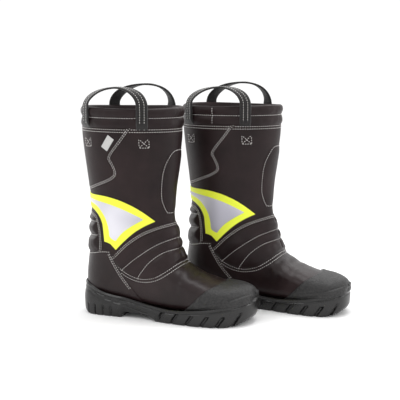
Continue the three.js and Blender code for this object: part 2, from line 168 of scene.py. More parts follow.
stations[:, [1, 3]] = stretchZ(stations[:, [1, 3]])
lastRow = len(stations) - 1


def sectionAt(s):
    s = np.clip(np.asarray(s, float), 0, lastRow)
    i = np.minimum(s.astype(int), lastRow - 1)
    t = (s - i)[..., None]
    return through(*(stations[np.clip(i + k, 0, lastRow)] for k in (-1, 0, 1, 2)), t)


def lastPoint(s, angle):
    fx, fz, bx, bz, half, widest, roundness, shift = np.moveaxis(sectionAt(s), -1, 0)
    c, v = np.cos(angle), np.sin(angle)
    power = 2 / np.where(c > 0, 2, roundness)
    reach = np.abs(c) ** power
    u = np.where(c > 0, widest * (1 - reach), widest + (1 - widest) * reach)
    y = shift + half * np.sign(v) * np.abs(v) ** power
    return np.stack([fx + (bx - fx) * u, y, fz + (bz - fz) * u], -1)


def unit(v):
    return v / np.maximum(np.linalg.norm(v, axis=-1, keepdims=True), 1e-9)


def normalAt(s, angle):
    s = np.clip(s, 0.06, lastRow)
    along = lastPoint(np.minimum(s + 0.03, lastRow), angle) - lastPoint(s - 0.03, angle)
    around = lastPoint(s, angle + 0.02) - lastPoint(s, angle - 0.02)
    return unit(np.cross(around, along))


def layerPoint(s, angle, offset):
    return lastPoint(s, angle) + normalAt(s, angle) * np.asarray(offset)[..., None]


# Where a point of the side view lies on the surface: its station and its angle on one half.
searchRows = np.linspace(0.05, lastRow, 2400)
searchFront = sectionAt(searchRows)[:, :2]
searchRun = sectionAt(searchRows)[:, 2:4] - searchFront
searchLength = np.linalg.norm(searchRun, axis=1)


def fromSide(points):
    found = []
    for x, z in np.asarray(points, float):
        off = np.array([x, z]) - searchFront
        cross = (searchRun[:, 0] * off[:, 1] - searchRun[:, 1] * off[:, 0]) / searchLength
        u = (off * searchRun).sum(1) / searchLength**2
        k = np.flatnonzero(cross[:-1] * cross[1:] <= 0)
        if not len(k):
            k = np.array([np.argmin(np.abs(cross))])
        k = k[np.argmin(np.abs(u[k] - np.clip(u[k], 0, 1)))]
        t = cross[k] / (cross[k] - cross[k + 1]) if k + 1 < len(cross) and cross[k] != cross[k + 1] else 0
        s = searchRows[k] + t * (searchRows[1] - searchRows[0])
        share = np.clip(u[k], 0, 1)
        widest, roundness = sectionAt(s)[5:7]
        if share <= widest:
            angle = math.acos(min(1, max(0, 1 - share / widest)))
        else:
            angle = math.acos(-(((share - widest) / (1 - widest)) ** (roundness / 2)))
        found.append((s, 0 if share < 1e-4 else math.pi if share > 1 - 1e-4 else angle))
    return np.array(found)


# A smooth open curve through points of the pattern.
def smooth(points, perSpan=8):
    points = stretched(*points)
    last = len(points) - 1
    t = np.linspace(0, 1, perSpan, endpoint=False)[:, None]
    spans = [through(*(points[min(max(i + k, 0), last)] for k in (-1, 0, 1, 2)), t) for i in range(last)]
    return np.vstack(spans + [points[-1:]])


# A line moved sideways, to its left where the distance is positive.
def shifted(line, distance):
    run = np.gradient(line, axis=0)
    run /= np.maximum(np.linalg.norm(run, axis=1, keepdims=True), 1e-9)
    return line + np.stack([-run[:, 1], run[:, 0]], 1) * distance


# The seams and edges of the pattern, in side view.
seams = {
    "backS": [(34, 332), (28, 324), (12, 303), (-4, 284), (-9, 276)],
    "backHook": [(-9, 276), (-3, 266), (1, 254), (-2, 244), (-16, 235), (-37, 227), (-55, 220),
                 (-74, 214)],
    "counterTop": [(-84, 108), (-60, 111), (-38, 116), (-20, 117)],
    "counterFront": [(-20, 117), (-19, 109), (-5, 82), (5, 68), (22, 47), (40, 22)],
    "instepTop": [(-22, 105), (-13, 112), (7, 131), (32, 149), (54, 159), (74, 165), (88, 168)],
    "instepBottom": [(105, 104), (85, 87), (60, 73), (34, 69), (12, 74), (-5, 84), (-13, 93)],
    "quilt1": [(-4, 82), (6, 90), (24, 105), (56, 127), (78, 137), (94, 141)],
    "quilt2": [(28, 70), (34, 80), (50, 100), (73, 117), (98, 124)],
    "rearFront": [(-38, 112), (-36, 128), (-39, 158), (-45, 174), (-58, 181), (-84, 184)],
    "bumperEdge": [(172, 69), (164, 65), (152.5, 58.8), (141, 49), (132, 39.5), (122, 31), (113, 23)],
    "bandTop": [(-76, 214), (-62, 212), (-28, 211), (-1, 206), (21, 197), (39, 185), (56, 169)],
    "bandFront": [(56, 169), (40, 161), (23, 150), (6, 135), (-10, 119)],
    "bandBack": [(-10, 119), (-20, 129), (-31, 132)],
    "bandHeel": [(-31, 132), (-32, 146), (-34, 163), (-41, 176), (-51, 184), (-62, 188), (-76, 191)],
    "silverTop": [(-76, 206), (-60, 204), (-23, 199), (5, 191), (26, 181), (39, 173)],
    "silverFront": [(39, 173), (19, 161), (3, 149), (-9, 135)],
    "silverHeel": [(-9, 135), (-19, 141), (-21, 156), (-26, 172), (-36, 186), (-50, 195), (-76, 200)],
    "shinOval": [(94, 293), (83, 290), (76, 278), (69, 258), (65, 236), (63, 210), (65, 194), (67.5, 185),
                 (71, 179.5), (86, 177.5)],
    "soleTop": [(-90, 58), (-82, 57), (-64, 52), (-50, 45), (-35, 40), (-16, 37), (1, 35.5), (23, 32),
                (46, 28), (72, 25), (100, 24), (135, 27), (165, 31), (193, 37), (219, 43), (226, 44.5)],
}
lines = {name: smooth(points) for name, points in seams.items()}


def soleTopAt(x):
    return np.interp(x, lines["soleTop"][:, 0], lines["soleTop"][:, 1])


# A run a little below the sole's top edge, where the upper goes down behind the sole.
def soleRun(x0, x1, below, count=24):
    x = np.linspace(x0, x1, count)
    return np.stack([x, soleTopAt(x) - below], 1)


# A panel is cut out of the surface laid flat, where across is the angle and up is the way along the boot.
cutting = {"step": 2.0, "angleScale": 60.0, "rowShare": 0.87, "clear": 0.62}
rowLength = lengthAlong((stations[:, :2] + stations[:, 2:4]) / 2)


def toFlat(s, angle):
    return np.stack([angle * cutting["angleScale"], np.interp(s, np.arange(lastRow + 1), rowLength)], -1)


def fromFlat(flat):
    return np.interp(flat[:, 1], rowLength, np.arange(lastRow + 1)), flat[:, 0] / cutting["angleScale"]


# An outline with points no further apart than about a step.
def spaced(points, step):
    out = []
    for a, b in zip(points, np.roll(points, -1, axis=0)):
        parts = max(1, int(round(np.linalg.norm(b - a) / step)))
        out += [a + (b - a) * k / parts for k in range(parts)]
    return np.array(out)


def insideOf(polygon, points):
    x, y = points[:, 0], points[:, 1]
    inside = np.zeros(len(points), bool)
    for (ax, ay), (bx, by) in zip(polygon, np.roll(polygon, -1, axis=0)):
        crosses = (ay > y) != (by > y)
        with np.errstate(divide="ignore", invalid="ignore"):
            inside ^= crosses & (x < (bx - ax) * (y - ay) / (by - ay) + ax)
    return inside


def onFlat(points):
    return np.hstack([points, np.zeros((len(points), 1))])


# Triangles between an outline and the points inside it, all turned the same way, and twice their areas.
def triangles(outline, inner, merge):
    edges = [(i, (i + 1) % len(outline)) for i in range(len(outline))]
    made = delaunay_2d_cdt([Vector(p) for p in np.vstack([outline, inner])], edges, [], 0, merge)
    flat = np.array([tuple(p) for p in made[0]])
    faces = np.array([f for f in made[2] if len(f) == 3])
    faces = faces[insideOf(outline, flat[faces].mean(1))]
    a, b, c = (flat[faces[:, k]] for k in range(3))
    area = (b - a)[:, 0] * (c - a)[:, 1] - (b - a)[:, 1] * (c - a)[:, 0]
    faces[area < 0] = faces[area < 0][:, ::-1]
    return flat, faces, np.abs(area)


def meshInside(outline):
    step = cutting["step"]
    low, high = outline.min(0), outline.max(0)
    gridX, gridY = np.meshgrid(np.arange(low[0] + step / 2, high[0], step),
                               np.arange(low[1], high[1], step * cutting["rowShare"]))
    gridX[1::2] += step / 2
    grid = np.stack([gridX.ravel(), gridY.ravel()], 1)
    grid = grid[insideOf(outline, grid)]
    grid = grid[distanceTo(onFlat(grid), onFlat(outline)) > step * cutting["clear"]]
    flat, faces, area = triangles(outline, grid, 1e-4)
    return flat, faces[area > 1e-5]


# Neighbouring points of an outline that nearly coincide become one.
def thinned(outline, apart):
    return outline[np.linalg.norm(outline - np.roll(outline, 1, axis=0), axis=1) > apart]


# Meshes the half of the surface inside the runs of an outline and mirrors it to the other side.
def cutPanel(*runs, flatRuns=None):
    outline = np.vstack([toFlat(*fromSide(run).T) for run in runs]) if flatRuns is None else flatRuns
    outline = thinned(spaced(thinned(outline, 0.05), cutting["step"]), 0.3)
    flat, faces = meshInside(outline)
    s, angle = fromFlat(flat)
    angle = np.where(angle < 2e-3, 0, np.where(angle > math.pi - 2e-3, math.pi, angle))
    middle = (angle == 0) | (angle == math.pi)
    faces = faces[~middle[faces].all(axis=1)]
    used = np.unique(faces)
    renumber = -np.ones(len(flat), int)
    renumber[used] = np.arange(len(used))
    s, angle, middle, faces = s[used], angle[used], middle[used], renumber[faces]
    # the front and back edges are shared by both halves
    twin = np.arange(len(s))
    twin[~middle] = len(s) + np.arange((~middle).sum())
    allS = np.concatenate([s, s[~middle]])
    allAngle = np.concatenate([angle, -angle[~middle]])
    allFaces = np.vstack([faces, twin[faces][:, ::-1]])
    # faces turn outwards, as most of them are tested against the surface
    points = lastPoint(allS, allAngle)
    a, b, c = (points[allFaces[:, k]] for k in range(3))
    outward = normalAt(allS[allFaces].mean(1), allAngle[allFaces[:, 0]])
    if (np.cross(b - a, c - a) * outward).sum(1).mean() < 0:
        allFaces = allFaces[:, ::-1]
    return {"s": allS, "angle": allAngle, "faces": allFaces}


def rimEdges(faces):
    edges = np.vstack([faces[:, [0, 1]], faces[:, [1, 2]], faces[:, [2, 0]]])
    key = np.sort(edges, axis=1)
    _, first, count = np.unique(key, axis=0, return_index=True, return_counts=True)
    return edges[first[count == 1]]


def distanceTo(points, targets):
    tree = kdtree.KDTree(len(targets))
    for i, p in enumerate(targets):
        tree.insert(p, i)
    tree.balance()
    return np.array([tree.find(p)[2] for p in points])


def lineOnBoot(line):
    s, angle = fromSide(line).T
    return [lastPoint(s, side * angle) for side in (-1, 1)]


def dense(path):
    length = lengthAlong(path)
    return pointsAt(path, length, np.arange(0, length[-1], 1.5))


# Smooth random waves over a surface, about a size apart.
def wobble(points, size, seed):
    scaled = points / size
    return np.array([noise.noise(Vector(p) + Vector((seed, seed * 1.7, 0))) for p in scaled])


# One mesh piece of one boot, from millimetres in the boot's own frame.
def addPiece(name, boot, points, faces, material, sharp=50):
    place = np.array([boot["x"], boot["y"], 0])
    points = points * np.array([1, boot["side"], 1]) + place
    mesh = bpy.data.meshes.new(f"{boot['foot']}_{name}")
    faces = [tuple(f) for f in faces]
    if boot["side"] < 0:
        faces = [f[::-1] for f in faces]
    mesh.from_pydata((points * mm).tolist(), [], faces)
    mesh.update()
    mesh.shade_smooth()
    mesh.set_sharp_from_angle(angle=math.radians(sharp))
    mesh.materials.append(material)
    piece = bpy.data.objects.new(f"{boot['foot']}_{name}_skin", mesh)
    bpy.context.scene.collection.objects.link(piece)
    return piece


def bendAtAnkle(piece, boot):
    x, y = boot["x"] * mm, boot["y"] * mm
    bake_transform(piece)
    return piece


# A closed skin between the panel's top surface and a lower layer.
def thickSheet(panel, top, bottom):
    s, angle, faces = panel["s"], panel["angle"], panel["faces"]
    count = len(s)
    points = np.vstack([layerPoint(s, angle, top), layerPoint(s, angle, bottom)])
    rim = rimEdges(faces)
    walls = np.stack([rim[:, 1], rim[:, 0], rim[:, 0] + count, rim[:, 1] + count], 1)
    return points, [tuple(f) for part in (faces, faces[:, ::-1] + count, walls) for f in part]


# How far a rounded edge falls away, at a distance from the rim.
def edgeDrop(distance, radius):
    inside = np.clip(distance / radius, 0, 1)
    return radius * (1 - np.sqrt(1 - (1 - inside) ** 2))


# A shader socket that takes part in sums and products; each one adds a Math node.
class Value:
    def __init__(self, finish, socket):
        self.finish, self.socket = finish, socket

    def math(self, operation, first, second):
        return self.finish.node("ShaderNodeMath", {"operation": operation}, {0: first, 1: second})

    def __add__(self, other):
        return self.math("ADD", self, other)

    def __radd__(self, other):
        return self.math("ADD", other, self)

    def __sub__(self, other):
        return self.math("SUBTRACT", self, other)

    def __rsub__(self, other):
        return self.math("SUBTRACT", other, self)

    def __mul__(self, other):
        return self.math("MULTIPLY", self, other)

    def __rmul__(self, other):
        return self.math("MULTIPLY", other, self)


# One material: its constants, its nodes, and what feeds its shader.
class Finish:
    def __init__(self, name, constants):
        self.material = bpy.data.materials.new(name)
        self.material.use_nodes = True
        self.tree = self.material.node_tree
        self.shader = self.tree.nodes["Principled BSDF"]
        for socket, value in constants.items():
            self.shader.inputs[socket].default_value = value

    def node(self, kind, settings, inputs, output=0):
        made = self.tree.nodes.new(kind)
        for key, value in settings.items():
            setattr(made, key, value)
        for key, value in inputs.items():
            self.join(value, made.inputs[key])
        return Value(self, made.outputs[output])

    def join(self, value, socket):
        if isinstance(value, Value):
            self.tree.links.new(value.socket, socket)
        else:
            socket.default_value = value

    def place(self):
        return self.node("ShaderNodeTexCoord", {}, {}, "Object")

    def noise(self, scale, detail=3, rough=0.5):
        return self.node("ShaderNodeTexNoise", {}, {
            "Vector": self.place(), "Scale": scale, "Detail": detail, "Roughness": rough})

    def cells(self, scale, feature="F1", randomness=1.0):
        return self.node("ShaderNodeTexVoronoi", {"feature": feature}, {
            "Vector": self.place(), "Scale": scale, "Randomness": randomness})

    def span(self, value, low, high, toLow, toHigh):
        return self.node("ShaderNodeMapRange", {}, {0: value, 1: low, 2: high, 3: toLow, 4: toHigh})

    def mix(self, share, first, second):
        return self.node("ShaderNodeMix", {"data_type": "RGBA"}, {0: share, 6: first, 7: second}, 2)

    def bump(self, height, strength, distance, under=None):
        inputs = {"Height": height, "Strength": strength, "Distance": distance}
        if under:
            inputs["Normal"] = under
        return self.node("ShaderNodeBump", {}, inputs)

    def finished(self, colour=None, roughness=None, normal=None):
        for socket, value in (("Base Color", colour), ("Roughness", roughness), ("Normal", normal)):
            if value is not None:
                self.join(value, self.shader.inputs[socket])
        return self.material


def softStep(value, low, high):
    t = np.clip((value - low) / (high - low), 0, 1)
    return t * t * (3 - 2 * t)


def rgb(r, g, b):
    return (r, g, b, 1.0)


hide = {"dark": rgb(0.0092, 0.0049, 0.0051), "light": rgb(0.021, 0.012, 0.0124), "grain": 900}


def leatherFinish(name, gloss, wrinkle, coat):
    finish = Finish(name, {"Specular IOR Level": 0.15, "Coat Roughness": 0.3, "Coat Weight": coat})
    cloud = finish.noise(14, 4, 0.6)
    colour = finish.mix(finish.span(cloud, 0.3, 0.7, 0, 1), hide["dark"], hide["light"])
    pores = finish.cells(hide["grain"], "DISTANCE_TO_EDGE")
    grain = finish.span(pores, 0, 0.12, 0, 1)
    folds = finish.noise(60, 5, 0.62)
    fine = finish.bump(grain, 0.22, 0.00018)
    normal = finish.bump(folds, wrinkle, 0.0016, fine)
    rough = finish.span(cloud + folds * 0.4, 0.4, 1.0, gloss - 0.05, gloss + 0.1)
    return finish.finished(colour, rough, normal)


def rubberFinish(name, tone, rough, pebbleScale, pebble):
    finish = Finish(name, {"Specular IOR Level": 0.42})
    dust = finish.noise(30, 4, 0.6)
    speckle = finish.noise(pebbleScale, 3, 0.55)
    share = finish.span(speckle, 0.38, 0.62, 0, 1) * pebble + dust * (1 - pebble)
    dark = rgb(tone * 0.5, tone * 0.47, tone * 0.47)
    colour = finish.mix(share, dark, rgb(tone * 1.7, tone * 1.6, tone * 1.6))
    normal = finish.bump(speckle, pebble, 0.0012)
    return finish.finished(colour, finish.span(dust, 0.3, 0.7, rough - 0.06, rough + 0.08), normal)


def clothFinish(name, dark, light, threads, rough=0.85, depth=0.0004):
    finish = Finish(name, {"Specular IOR Level": 0.25, "Sheen Weight": 0.25})
    inputs = {"Vector": finish.place(), "Scale": threads}
    over = finish.node("ShaderNodeTexWave", {"bands_direction": "X"}, inputs)
    weave = over * finish.node("ShaderNodeTexWave", {"bands_direction": "Z"}, inputs)
    colour = finish.mix(weave * 0.7 + finish.noise(40, 3) * 0.3, dark, light)
    return finish.finished(colour, rough, finish.bump(weave, 0.5, depth))


# The lime trim's colour, and a faint painted glow: the same colour is also emitted as light, though the trim
# is no lamp.
def limeFinishWithPaintedGlow():
    finish = Finish("limeTrimPaintedGlow", {"Specular IOR Level": 0.4, "Emission Strength": 0.06})
    shade = finish.noise(25, 2)
    colour = finish.mix(shade, rgb(0.72, 0.80, 0.03), rgb(0.80, 0.88, 0.06))
    # painted glow: the lime colour feeds the emission
    finish.join(colour, finish.shader.inputs["Emission Color"])
    weave = finish.cells(1400, randomness=0.2)
    return finish.finished(colour, 0.5, finish.bump(weave, 0.15, 0.0001))


def silverFinish():
    finish = Finish("silverFilm", {"Specular IOR Level": 0.6, "Metallic": 0.15})
    beads = finish.cells(1800, "DISTANCE_TO_EDGE", randomness=0.15)
    sweep = finish.noise(12, 1)
    colour = finish.mix(finish.span(sweep, 0.35, 0.65, 0, 1), rgb(0.38, 0.37, 0.44), rgb(0.68, 0.67, 0.72))
    return finish.finished(colour, 0.36, finish.bump(beads, 0.12, 0.0001))


def metalFinish():
    finish = Finish("springSteel", {"Metallic": 1.0})
    brushed = finish.noise(300, 2, 0.4)
    colour = finish.mix(brushed, rgb(0.42, 0.42, 0.43), rgb(0.6, 0.6, 0.61))
    return finish.finished(colour, finish.span(brushed, 0, 1, 0.3, 0.45))


def boardFinish():
    finish = Finish("fibreBoard", {"Specular IOR Level": 0.2})
    fibre = finish.noise(220, 6, 0.7)
    return finish.finished(finish.mix(fibre, rgb(0.25, 0.18, 0.1), rgb(0.5, 0.4, 0.26)), 0.9,
                           finish.bump(fibre, 0.4, 0.0005))


finishes = {
    "leather": leatherFinish("shaftLeather", 0.45, 0.16, 0.05),
    "vamp": leatherFinish("vampLeather", 0.36, 0.42, 0.2),
    "padding": leatherFinish("quiltedLeather", 0.4, 0.35, 0.08),
    "collar": leatherFinish("collarLeather", 0.42, 0.4, 0.05),
    "sole": rubberFinish("soleRubber", 0.009, 0.28, 500, 0.12),
    "bumper": rubberFinish("toeRubber", 0.0115, 0.46, 330, 0.9),
    "thread": clothFinish("waxedThread", rgb(0.55, 0.53, 0.51), rgb(0.85, 0.83, 0.8), 700, 0.6, 0.0001),
    "strap": clothFinish("strapWebbing", rgb(0.0055, 0.0048, 0.0048), rgb(0.016, 0.0138, 0.0138), 420, 0.7),
    "lining": clothFinish("liningCloth", rgb(0.006, 0.006, 0.007), rgb(0.02, 0.02, 0.022), 300),
    "footbed": clothFinish("footbedCloth", rgb(0.02, 0.022, 0.028), rgb(0.06, 0.065, 0.075), 260),
    "label": clothFinish("wovenLabel", rgb(0.42, 0.42, 0.41), rgb(0.66, 0.66, 0.64), 380),
    "lime": limeFinishWithPaintedGlow(),
    "silver": silverFinish(),
    "steel": metalFinish(),
    "board": boardFinish(),
}
print("finishes made")

thread = {"pitch": 4.2, "length": 2.7, "radius": 0.45, "sides": 6, "lean": 0.1, "proud": 0.12}
heightTrees = {}


# One stitch: a short round thread that dives into the leather at both ends.
def stitchShape():
    rings, sides = [-0.5, -0.32, 0, 0.32, 0.5], thread["sides"]
    points = []
    for t in rings:
        fat = thread["radius"] * (0.35 if abs(t) == 0.5 else 1)
        sink = -0.55 if abs(t) == 0.5 else 0
        for k in range(sides):
            a = 2 * math.pi * k / sides
            points.append((t * thread["length"], fat * math.cos(a), fat * math.sin(a) * 0.85 + sink))
    return np.array(points), ringFaces(len(rings), sides) + endCaps(len(rings), sides)


stitchPoints, stitchFaces = stitchShape()


# Stitches along a path of points on the leather, with the outward direction at each.
def stitchesAlong(path, normals):
    length = lengthAlong(path)
    at = np.arange(thread["pitch"] / 2, length[-1], thread["pitch"])
    place = pointsAt(path, length, at)
    up = unit(pointsAt(normals, length, at))
    run = unit(pointsAt(path, length, at + 0.5) - pointsAt(path, length, at - 0.5))
    across = unit(np.cross(up, run))
    run = unit(run + across * thread["lean"])
    across = unit(np.cross(up, run))
    local = stitchPoints
    return (place[:, None] + local[None, :, :1] * run[:, None] + local[None, :, 1:2] * across[:, None]
            + local[None, :, 2:] * up[:, None])


def addStitches(name, boot, groups):
    every = np.vstack([g for g in groups if len(g)])
    count = len(stitchPoints)
    faces = [tuple(i * count + k for k in f) for i in range(len(every)) for f in stitchFaces]
    piece = addPiece(name, boot, every.reshape(-1, 3), faces, finishes["thread"], 80)
    return piece


# The height of a panel's leather over the lasted surface, near the given points of that surface.
def heightOn(panelName, points):
    if panelName not in heightTrees:
        base = panelPoints(panels[panelName])
        tree = kdtree.KDTree(len(base))
        for i, p in enumerate(base):
            tree.insert(p, i)
        tree.balance()
        heightTrees[panelName] = tree
    out = []
    for p in points:
        near = heightTrees[panelName].find_n(p, 4)
        weights = np.array([1 / (0.3 + distance) for _, _, distance in near])
        out.append((np.array([heights[panelName][i] for _, i, _ in near]) * weights).sum() / weights.sum())
    return np.array(out)


# Stitches along a line of the side view, on both sides of the boot, lying on one panel.
def sewLine(line, panelName):
    s, angle = fromSide(dense(line)).T
    # where the line has run past the front or back edge of the boot, it stops
    inside = np.flatnonzero((angle > 0) & (angle < math.pi))
    kept = slice(max(inside[0] - 1, 0), inside[-1] + 2)
    s, angle = s[kept], angle[kept]
    out = []
    for side in (-1, 1):
        path = layerPoint(s, side * angle, heightOn(panelName, lastPoint(s, side * angle)) + thread["proud"])
        keep = np.concatenate([[True], np.linalg.norm(np.diff(path, axis=0), axis=1) > 1e-3])
        out.append(stitchesAlong(path[keep], normalAt(s, side * angle)[keep]))
    return out


# A closed level line round the leg, found by halving the stations between the ankle and the top.
def ringLine(z, offset, count=160):
    angle = np.linspace(0, 2 * math.pi, count)
    low, high = np.full(count, 12.0), np.full(count, float(lastRow))
    for _ in range(30):
        middle = (low + high) / 2
        above = lastPoint(middle, angle)[:, 2] > z
        high = np.where(above, middle, high)
        low = np.where(above, low, middle)
    s = (low + high) / 2
    normal = normalAt(s, angle)
    normal[:, 2] = 0
    normal = unit(normal)
    path = lastPoint(s, angle) + normal * offset
    path[:, 2] = z
    return path, normal


# The part of a line that lies no higher than a height.
def upTo(line, height):
    return line[line[:, 1] <= height]


def levelRun(x0, x1, z, count=30):
    x = np.linspace(x0, x1, count)
    return np.stack([x, np.full(count, float(z))], 1)


# Runs just past the front and the back of the leg and foot, so that they fall on those edges.
def frontEdge(z0, z1, count):
    rows = sectionAt(np.linspace(3, lastRow, 600))[:, :2]
    z = np.linspace(z0, z1, count)
    return np.stack([np.interp(z, rows[:, 1], rows[:, 0]) + 3, z], 1)


def backEdge(z0, z1, count):
    rows = sectionAt(np.linspace(13, lastRow, 600))[:, 2:4]
    z = np.linspace(z0, z1, count)
    return np.stack([np.interp(z, rows[:, 1], rows[:, 0]) - 3, z], 1)


panels = {}
# how far a panel runs under its neighbour, to the left of the seam's run where positive
laps = {"instep": 4, "shaftTop": -5, "shaftHook": -6}


def cutAll():
    hook = lines["backHook"]
    top = shellTop
    panels["vamp"] = cutPanel(
        np.array([(-24.0, 95.0), (-24.0, 110.0), (-14.0, 112.0)]),
        shifted(lines["instepBottom"][::-1], laps["instep"]),
        frontEdge(103, 70, 30),
        stretched((178, 67), (170, 55), (150, 30), (140, 20)),
        soleRun(float(stretchX(138)), 30, 6),
    )
    panels["heelCounter"] = cutPanel(lines["counterTop"], lines["counterFront"][:-3], soleRun(30, -86, 6),
                                     backEdge(50, 106, 20))
    panels["instepFlex"] = cutPanel(lines["instepTop"], frontEdge(166, 102, 20), lines["instepBottom"])
    panels["rearFlex"] = cutPanel(backEdge(104, 184, 24), lines["rearFront"][::-1],
                                  np.array([(-50.0, 109.0)]))
    panels["shaft"] = cutPanel(
        frontEdge(160, top, 50), levelRun(95, 21, top),
        stretched((4, 303), (-12, 284), (-17, 275), (-10, 256), (-12, 247)),
        shifted(hook[hook[:, 0] < -22], laps["shaftHook"]), backEdge(222, 180, 14),
        np.array([(-58.0, 176.0), (-48.0, 166.0), (-43.0, 150.0), (-42.0, 112.0), (-22.0, 100.0)]),
        shifted(lines["instepTop"][4:], laps["shaftTop"]),
    )
    panels["back"] = cutPanel(
        levelRun(-92, 29, top), upTo(lines["backS"], top - 1), lines["backHook"][1:], backEdge(216, top, 30))
    panels["shinPad"] = cutPanel(lines["shinOval"], frontEdge(180, 291, 30))
    panels["band"] = cutPanel(lines["bandTop"], lines["bandFront"][1:], lines["bandBack"][1:],
                              lines["bandHeel"][1:], backEdge(192, 213, 6))
    panels["silver"] = cutPanel(lines["silverTop"], lines["silverFront"][1:], lines["silverHeel"][1:],
                                backEdge(200.5, 205.5, 3))
    # the bumper reaches round the toe's tip, so its outline is given laid flat
    edge = lines["bumperEdge"]
    pole = toFlat(np.array([0.06, 0.06, 0.06]), np.array([2.3, 1.2, 0.0]))
    rear = toFlat(*fromSide(edge).T)
    low = toFlat(*fromSide(soleRun(float(stretchX(115)), float(stretchX(217)), 4, 40)).T)
    topEdge = toFlat(np.linspace(0.3, fromSide(edge[:1])[0][0], 20)[:-1], np.zeros(19))
    panels["bumper"] = cutPanel(flatRuns=np.vstack([rear, low, pole, topEdge]))


cutAll()
print("panels cut", {name: len(p["s"]) for name, p in panels.items()})

# Heights over the lasted surface, in millimetres.
leatherLook = {
    "edge": 1.1, "skin": 2.3,
    "vamp": {"top": 0.0, "crease": 2.0},
    "heelCounter": {"top": 1.7},
    "instepFlex": {"top": 0.9, "puff": 3.0, "valley": 8.5},
    "rearFlex": {"top": 0.9, "puff": 4.6, "valley": 11.0, "dents": (164, 140)},
    "shaft": {"top": 0.0},
    "back": {"top": 1.0},
    "shinPad": {"top": 0.8, "puff": 1.6},
}


def panelPoints(panel):
    return lastPoint(panel["s"], panel["angle"])


def rimDistance(panel):
    points = panelPoints(panel)
    return distanceTo(points, points[np.unique(rimEdges(panel["faces"]))])


# How far the leather is pulled in along its seams, and how far away the nearest seam is.
def seamDip(points, seamLines, depth, width):
    paths = [dense(path) for line in seamLines for path in lineOnBoot(line)]
    away = distanceTo(points, np.vstack(paths))
    return depth * np.exp(-((away / width) ** 2)), away


def addUpper(name, panelName, boot, material, height, bottom):
    points, faces = thickSheet(panels[panelName], height, bottom)
    piece = addPiece(name, boot, points, faces, finishes[material], 55)
    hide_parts(f"{boot['foot']}_{name}")
    bendAtAnkle(piece, boot)
    return piece


heights = {}


# The leather's top over the lasted surface: its creases and folds, its padding and its seams.
def shapeUppers():
    look = leatherLook
    edge = look["edge"]

    p = panelPoints(panels["vamp"])
    creaseZone = np.exp(-(((p[:, 0] - 112) / 30) ** 2)) * np.clip((p[:, 2] - 35) / 25, 0, 1)
    crease = wobble(p * np.array([1.0, 0.35, 0.8]), 12.5, 3) * look["vamp"]["crease"] * creaseZone
    rows = [shifted(lines["instepBottom"], -2.4), shifted(lines["instepBottom"], -5.2)]
    dip, _ = seamDip(p, rows, 0.35, 1.3)
    heights["vamp"] = look["vamp"]["top"] + crease + wobble(p, 34, 1) * 0.5 - dip

    p = panelPoints(panels["heelCounter"])
    rim = rimDistance(panels["heelCounter"])
    rows = [shifted(lines["counterFront"], -2.2), shifted(lines["counterFront"], -5.0)]
    dip, _ = seamDip(p, rows, 0.3, 1.2)
    heights["heelCounter"] = look["heelCounter"]["top"] - edgeDrop(rim, edge) + wobble(p, 30, 2) * 0.35 - dip

    part = look["instepFlex"]
    p = panelPoints(panels["instepFlex"])
    rim = rimDistance(panels["instepFlex"])
    _, quilt = seamDip(p, [lines["quilt1"], lines["quilt2"]], 1, 1)
    rows = [shifted(lines["instepTop"], -5.4), shifted(lines["instepBottom"], -1.8)]
    _, border = seamDip(p, rows, 1, 1)
    away = np.minimum(quilt, border)
    puff = part["puff"] * np.sin(np.clip(away / part["valley"], 0, 1) * math.pi / 2) ** 0.8
    puff *= softStep(rim, 1.5, 8)
    heights["instepFlex"] = (part["top"] + puff - edgeDrop(rim, edge)
                             + wobble(p * np.array([0.5, 0.5, 1]), 7, 5) * 0.35 + wobble(p, 18, 6) * 0.5)

    part = look["rearFlex"]
    p = panelPoints(panels["rearFlex"])
    rim = rimDistance(panels["rearFlex"])
    tilt = (p[:, 0] + 60) * 0.12
    away = np.min([np.abs(p[:, 2] - float(stretchZ(z)) - tilt) for z in part["dents"]], axis=0)
    away = np.minimum(away, np.maximum(rim - 7, 0))
    puff = part["puff"] * np.sin(np.clip(away / part["valley"], 0, 1) * math.pi / 2)
    heights["rearFlex"] = part["top"] + puff - edgeDrop(rim, edge) + wobble(p, 12, 7) * 0.4

    p = panelPoints(panels["shaft"])
    rows = [levelRun(-84, 88, shellTop - 2.5), levelRun(-84, 88, shellTop - 7)]
    dip, _ = seamDip(p, rows, 0.35, 1.3)
    heights["shaft"] = look["shaft"]["top"] + wobble(p, 60, 8) * 0.9 - dip

    p = panelPoints(panels["back"])
    rim = rimDistance(panels["back"])
    dip, _ = seamDip(p, [shifted(lines["backS"], -4.6), shifted(lines["backHook"], -4.6)], 0.7, 1.8)
    heights["back"] = look["back"]["top"] - edgeDrop(rim, edge) - dip + wobble(p, 60, 8) * 0.7

    part = look["shinPad"]
    p = panelPoints(panels["shinPad"])
    rim = rimDistance(panels["shinPad"])
    puff = part["puff"] * np.sin(np.clip((rim - 3.4) / 14, 0, 1) * math.pi / 2)
    heights["shinPad"] = part["top"] - edgeDrop(rim, edge) + puff - 0.5 * np.exp(-(((rim - 3) / 1.4) ** 2))


shapeUppers()
print("leather shaped")


def addUppers(boot):
    skin = leatherLook["skin"]
    addUpper("vamp", "vamp", boot, "vamp", heights["vamp"], -skin)
    addUpper("heel_counter", "heelCounter", boot, "vamp", heights["heelCounter"], -skin)
    instep = addUpper("instep_flex_panel", "instepFlex", boot, "padding", heights["instepFlex"], -skin)
    rear = addUpper("rear_flex_panel", "rearFlex", boot, "padding", heights["rearFlex"], -skin)
    addUpper("shaft_panel", "shaft", boot, "leather", heights["shaft"], -skin)
    addUpper("back_panel", "back", boot, "leather", heights["back"], -skin + 0.4)
    shin = addUpper("shin_pad", "shinPad", boot, "leather", heights["shinPad"], -skin + 0.6)


trim = {"band": 1.15, "silver": 1.75, "edge": 0.45}


